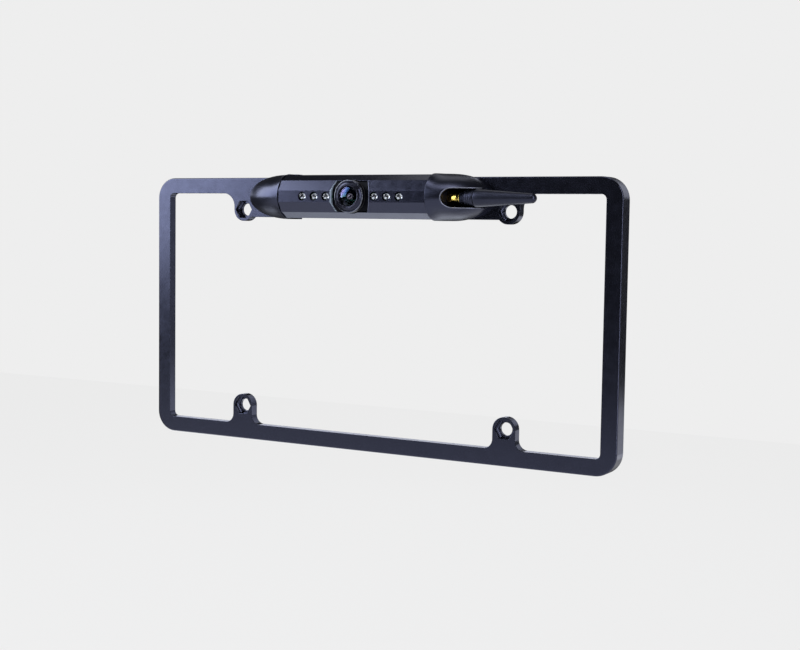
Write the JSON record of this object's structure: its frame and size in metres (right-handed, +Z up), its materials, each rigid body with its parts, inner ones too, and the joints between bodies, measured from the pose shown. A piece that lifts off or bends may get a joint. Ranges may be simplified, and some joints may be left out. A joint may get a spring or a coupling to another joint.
{
  "type": "number plate frame reversing camera",
  "caption": "Black number plate frame whose top rail carries a faceted, tilting camera bar with night lamps between two bullet-shaped end caps, and a stub antenna.",
  "frame": {"origin": "centre of the four plate bolts, on the face that the number plate lies against", "axes": "+X to the right and +Z up as seen from in front of the plate, +Y back into the vehicle; the lens looks along -Y"},
  "size_m": [0.3104, 0.0348, 0.1621],
  "materials": {
    "frame_black": "die-cast, satin black powder coat",
    "bar_black": "extruded, satin black anodised",
    "cap_black": "satin black moulding",
    "antenna_black": "satin black moulding",
    "lens_black": "semi-gloss black",
    "block_black": "matt black moulding",
    "lens_glass": "coated optical glass",
    "lamp_clear": "clear epoxy",
    "brass": "gold-plated brass",
    "screw_steel": "black zinc plated steel",
    "trunnion_metal": "turned aluminium",
    "can_steel": "tinned sheet",
    "board_green": "solder-masked laminate",
    "chip_black": "chip package",
    "soft_rubber": "matt black rubber",
    "white_ptfe": "white insulator"
  },
  "bodies": {
    "root": {"plate_frame": "frame_black", "left_end_cap": "cap_black", "right_end_cap": "cap_black", "cap_screws": "screw_steel", "left_friction_washer": "soft_rubber", "right_friction_washer": "soft_rubber", "cable_gland": "soft_rubber", "antenna_jack": "brass", "jack_washer": "brass", "jack_nut": "brass", "jack_insulator": "white_ptfe", "jack_contact": "brass", "antenna_lead": "soft_rubber"},
    "camera_bar": {"bar_tube": "bar_black", "left_trunnion_plug": "trunnion_metal", "right_trunnion_plug": "trunnion_metal", "camera_block": "block_black", "lens_bezel": "lens_black", "lens_seal": "soft_rubber", "lens_barrel": "lens_black", "front_lens": "lens_glass", "lens_stop": "block_black", "rear_lens": "lens_glass", "camera_board": "board_green", "image_sensor": "chip_black", "left_lamp_board": "board_green", "right_lamp_board": "board_green", "radio_board": "board_green", "power_board": "board_green", "shield_can": "can_steel", "lead_socket": "brass", "power_capacitor": "can_steel", "ir_lamps": "lamp_clear"},
    "antenna": {"antenna_ferrule": "brass", "antenna_collar": "antenna_black", "antenna_sleeve": "antenna_black", "antenna_rod": "brass"}
  },
  "joints": [
    {"name": "bar_tilt", "type": "hinge", "parent": "root", "child": "camera_bar", "pos_m": [0, -0.015, 0.068], "axis": [1, 0, 0], "range_deg": [-30, 30]},
    {"name": "antenna_screw", "type": "hinge", "parent": "root", "child": "antenna", "pos_m": [0.07, -0.015, 0.0675], "axis": [1, 0, 0], "range_deg": [0, 360]}
  ]
}
